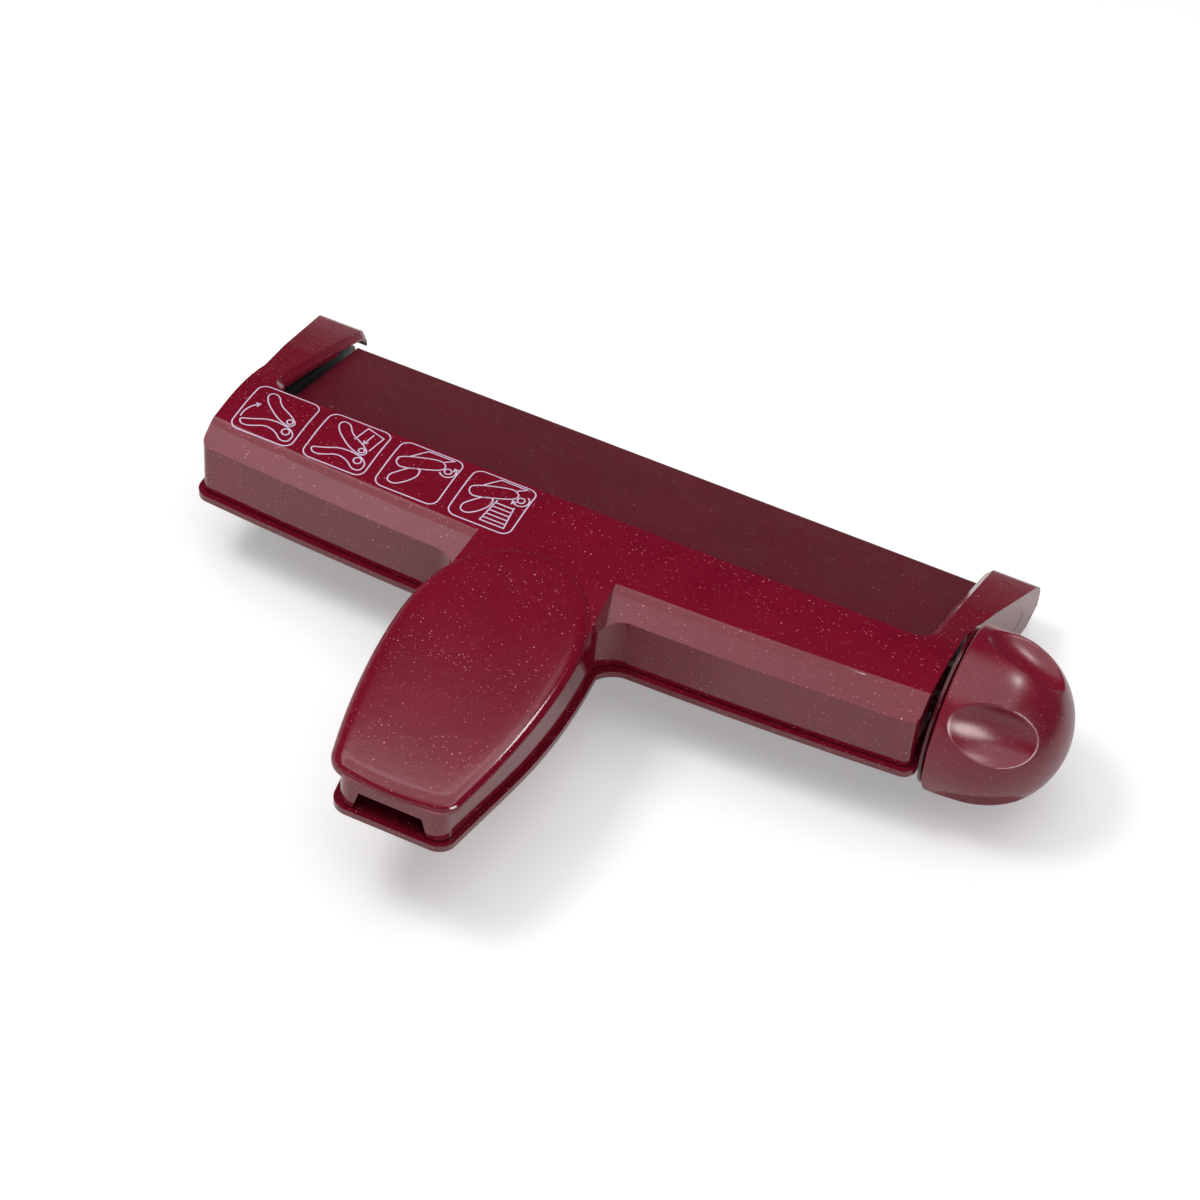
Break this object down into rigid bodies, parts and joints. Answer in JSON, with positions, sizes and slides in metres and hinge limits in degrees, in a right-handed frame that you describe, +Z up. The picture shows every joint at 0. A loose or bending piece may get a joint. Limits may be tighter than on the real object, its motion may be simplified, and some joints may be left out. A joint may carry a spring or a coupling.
{
  "type": "hand-cranked paper crimper",
  "caption": "Hand-held paper crimper: T-shaped hinged shell with a sheet slot, two meshing ribbed rollers inside, and a domed turning knob on one end.",
  "frame": {"origin": "middle of the whole object's bounding box, on the floor it rests on", "axes": "+X along the rollers towards the knob, +Y from the grips towards the hinge, +Z up"},
  "size_m": [0.284, 0.1926, 0.057],
  "materials": {
    "shell": "glossy deep burgundy with fine glitter flecks",
    "dark_shell": "glossy deep burgundy with fine glitter flecks",
    "base_shell": "satin deep burgundy",
    "pin_cap": "glossy burgundy cap",
    "frame": "matt black moulding",
    "roller": "satin dark grey moulding",
    "acetal": "natural white bearing plastic",
    "steel": "ground steel",
    "brass": "turned brass",
    "rubber": "black rubber"
  },
  "bodies": {
    "base": {"lower_handle": "dark_shell", "end_frame_left": "frame", "end_frame_right": "frame", "base_tray": "base_shell", "base_lid": "base_shell", "base_feet": "rubber", "base_screws": "steel", "handle_screws": "steel", "drive_bushes": "acetal", "knob_collar": "dark_shell", "hinge_pins": "pin_cap"},
    "top": {"head_cover": "shell", "grip_pad": "shell", "roller_carriers": "frame", "idler_bushes": "acetal", "carrier_screws": "steel"},
    "drive": {"drive_roller": "roller", "drive_shaft": "steel", "drive_clip": "steel", "knob": "shell", "knob_hub": "brass"},
    "idler": {"idler_roller": "roller", "idler_shaft": "steel", "idler_clips": "steel"}
  },
  "joints": [
    {"name": "open", "type": "hinge", "parent": "base", "child": "top", "pos_m": [0, 0.0818, 0.016], "axis": [-1, 0, 0], "range_deg": [0, 80]},
    {"name": "knob_spin", "type": "hinge", "parent": "base", "child": "drive", "pos_m": [0, 0.0283, 0.0305], "axis": [1, 0, 0], "continuous": true},
    {"name": "idler_spin", "type": "hinge", "parent": "top", "child": "idler", "pos_m": [0, 0.01787, 0.0413], "axis": [1, 0, 0], "continuous": true}
  ],
  "couplings": [
    {"joint": "idler_spin", "follows": "knob_spin", "ratio": -1.25}
  ]
}
